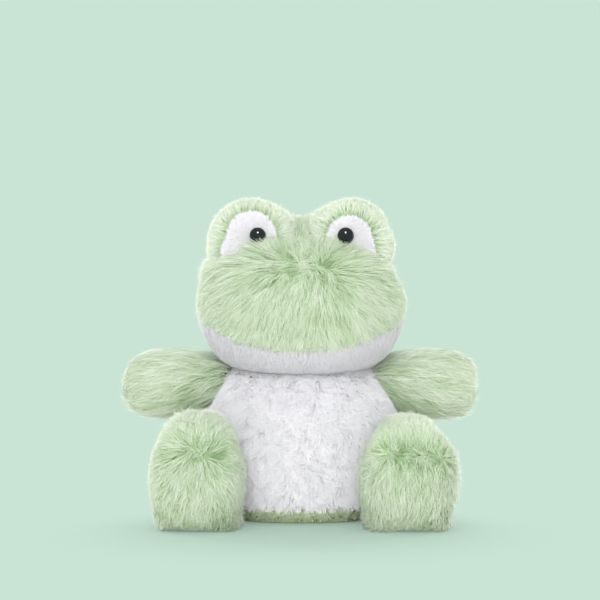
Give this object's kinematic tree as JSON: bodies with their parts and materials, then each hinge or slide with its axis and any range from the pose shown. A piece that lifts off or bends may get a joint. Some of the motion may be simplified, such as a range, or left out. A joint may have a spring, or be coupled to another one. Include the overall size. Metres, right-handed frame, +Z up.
{
  "type": "plush frog",
  "caption": "Sitting plush frog: furry body, wide head with two eye bumps, paddle arms and thick forward legs that flex at their sewn seams.",
  "frame": {"origin": "on the floor, at the middle of the seat's flat underside", "axes": "+Z up, -Y the way that the frog faces, +X to the frog's left"},
  "size_m": [0.2178, 0.1425, 0.1975],
  "materials": {
    "green_fur": "long soft pile",
    "white_fur": "long soft pile",
    "white_velour": "short soft pile",
    "fibrefill": "loose polyester fibre",
    "pouch_cloth": "plain weave",
    "eye_black": "polished",
    "washer_clear": "moulded"
  },
  "bodies": {
    "torso": {"belly_panel": "white_fur", "back_panel": "green_fur", "base_panel": "green_fur", "body_stuffing": "fibrefill", "pellet_pouch": "pouch_cloth"},
    "head": {"jaw_panel": "white_fur", "face_panel": "green_fur", "crown_panel": "green_fur", "head_stuffing": "fibrefill", "right_eye_hood": "green_fur", "right_eye_patch": "white_velour", "right_eye": "eye_black", "right_eye_washer": "washer_clear", "left_eye_hood": "green_fur", "left_eye_patch": "white_velour", "left_eye": "eye_black", "left_eye_washer": "washer_clear"},
    "right_arm": {"right_arm_front_panel": "green_fur", "right_arm_back_panel": "green_fur", "right_arm_stuffing": "fibrefill"},
    "right_leg": {"right_leg_top_panel": "green_fur", "right_leg_sole_panel": "green_fur", "right_leg_stuffing": "fibrefill"},
    "left_arm": {"left_arm_front_panel": "green_fur", "left_arm_back_panel": "green_fur", "left_arm_stuffing": "fibrefill"},
    "left_leg": {"left_leg_top_panel": "green_fur", "left_leg_sole_panel": "green_fur", "left_leg_stuffing": "fibrefill"}
  },
  "joints": [
    {"name": "neck_nod", "type": "hinge", "parent": "torso", "child": "head", "pos_m": [0, 0, 0.083], "axis": [1, 0, 0], "range_deg": [-12, 7], "stiffness_Nm_per_rad": 0.5},
    {"name": "right_shoulder_flap", "type": "hinge", "parent": "torso", "child": "right_arm", "pos_m": [-0.04942, 0, 0.08265], "axis": [-0.5592, 0, -0.829], "range_deg": [-20, 20], "stiffness_Nm_per_rad": 0.05},
    {"name": "right_hip_lift", "type": "hinge", "parent": "torso", "child": "right_leg", "pos_m": [-0.04967, -0.028, 0.03312], "axis": [-1, 0, 0], "range_deg": [0, 25], "stiffness_Nm_per_rad": 0.15},
    {"name": "left_shoulder_flap", "type": "hinge", "parent": "torso", "child": "left_arm", "pos_m": [0.04942, 0, 0.08265], "axis": [-0.5592, 0, 0.829], "range_deg": [-20, 20], "stiffness_Nm_per_rad": 0.05},
    {"name": "left_hip_lift", "type": "hinge", "parent": "torso", "child": "left_leg", "pos_m": [0.04967, -0.028, 0.03312], "axis": [-1, 0, 0], "range_deg": [0, 25], "stiffness_Nm_per_rad": 0.15}
  ]
}
